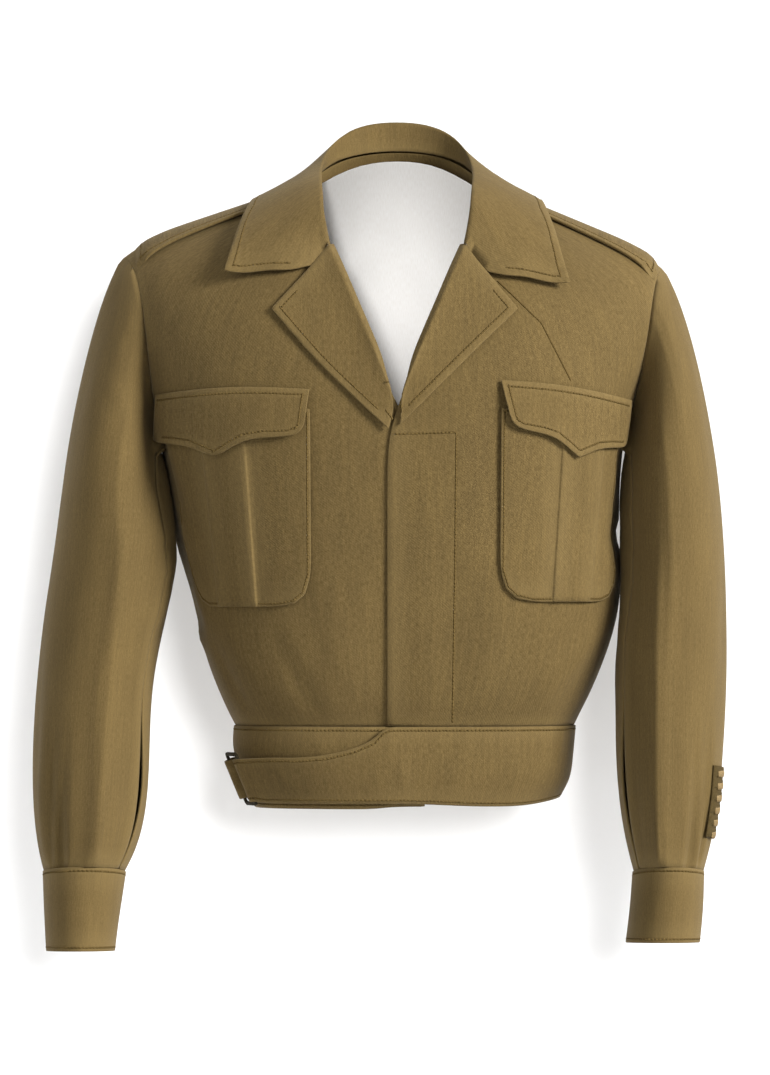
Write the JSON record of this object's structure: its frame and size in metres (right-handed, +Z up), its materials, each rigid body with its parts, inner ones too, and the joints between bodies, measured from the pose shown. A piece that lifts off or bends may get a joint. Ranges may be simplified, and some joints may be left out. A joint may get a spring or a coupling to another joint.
{
  "type": "waist-length uniform jacket",
  "caption": "Waist-length wool uniform jacket with notched lapels, shoulder straps, flap pockets and a buckled waistband, filled out as worn.",
  "frame": {"origin": "on the centre plane, midway between the shoulder points of the neck, where the garment is held up by its wearer", "axes": "+Z up, -Y to the front, +X to the wearer's left"},
  "size_m": [0.5814, 0.2436, 0.6977],
  "materials": {
    "serge": "fine olive-drab wool serge, slight nap",
    "lining": "pale cream lining, soft sheen",
    "button": "dull olive-brown",
    "buckle_metal": "dark olive paint, worn at the edges",
    "embroidery": "gold-brown embroidered bars"
  },
  "bodies": {
    "root": {"front_right": "serge", "front_left": "serge", "back": "serge", "back_lining": "lining", "lapel_right": "serge", "lapel_left": "serge", "collar": "serge", "sleeve_top_right": "serge", "sleeve_under_right": "serge", "sleeve_top_left": "serge", "sleeve_under_left": "serge", "cuff_right": "serge", "cuff_left": "serge", "cuff_button_right": "button", "cuff_button_left": "button", "shoulder_strap_right": "serge", "shoulder_strap_left": "serge", "pocket_right": "serge", "pocket_left": "serge", "flap_right": "serge", "flap_left": "serge", "waistband_right": "serge", "waistband_back": "serge", "waistband_left": "serge", "buckle_tab": "serge", "buckle": "buckle_metal", "service_bars": "embroidery"}
  },
  "joints": []
}
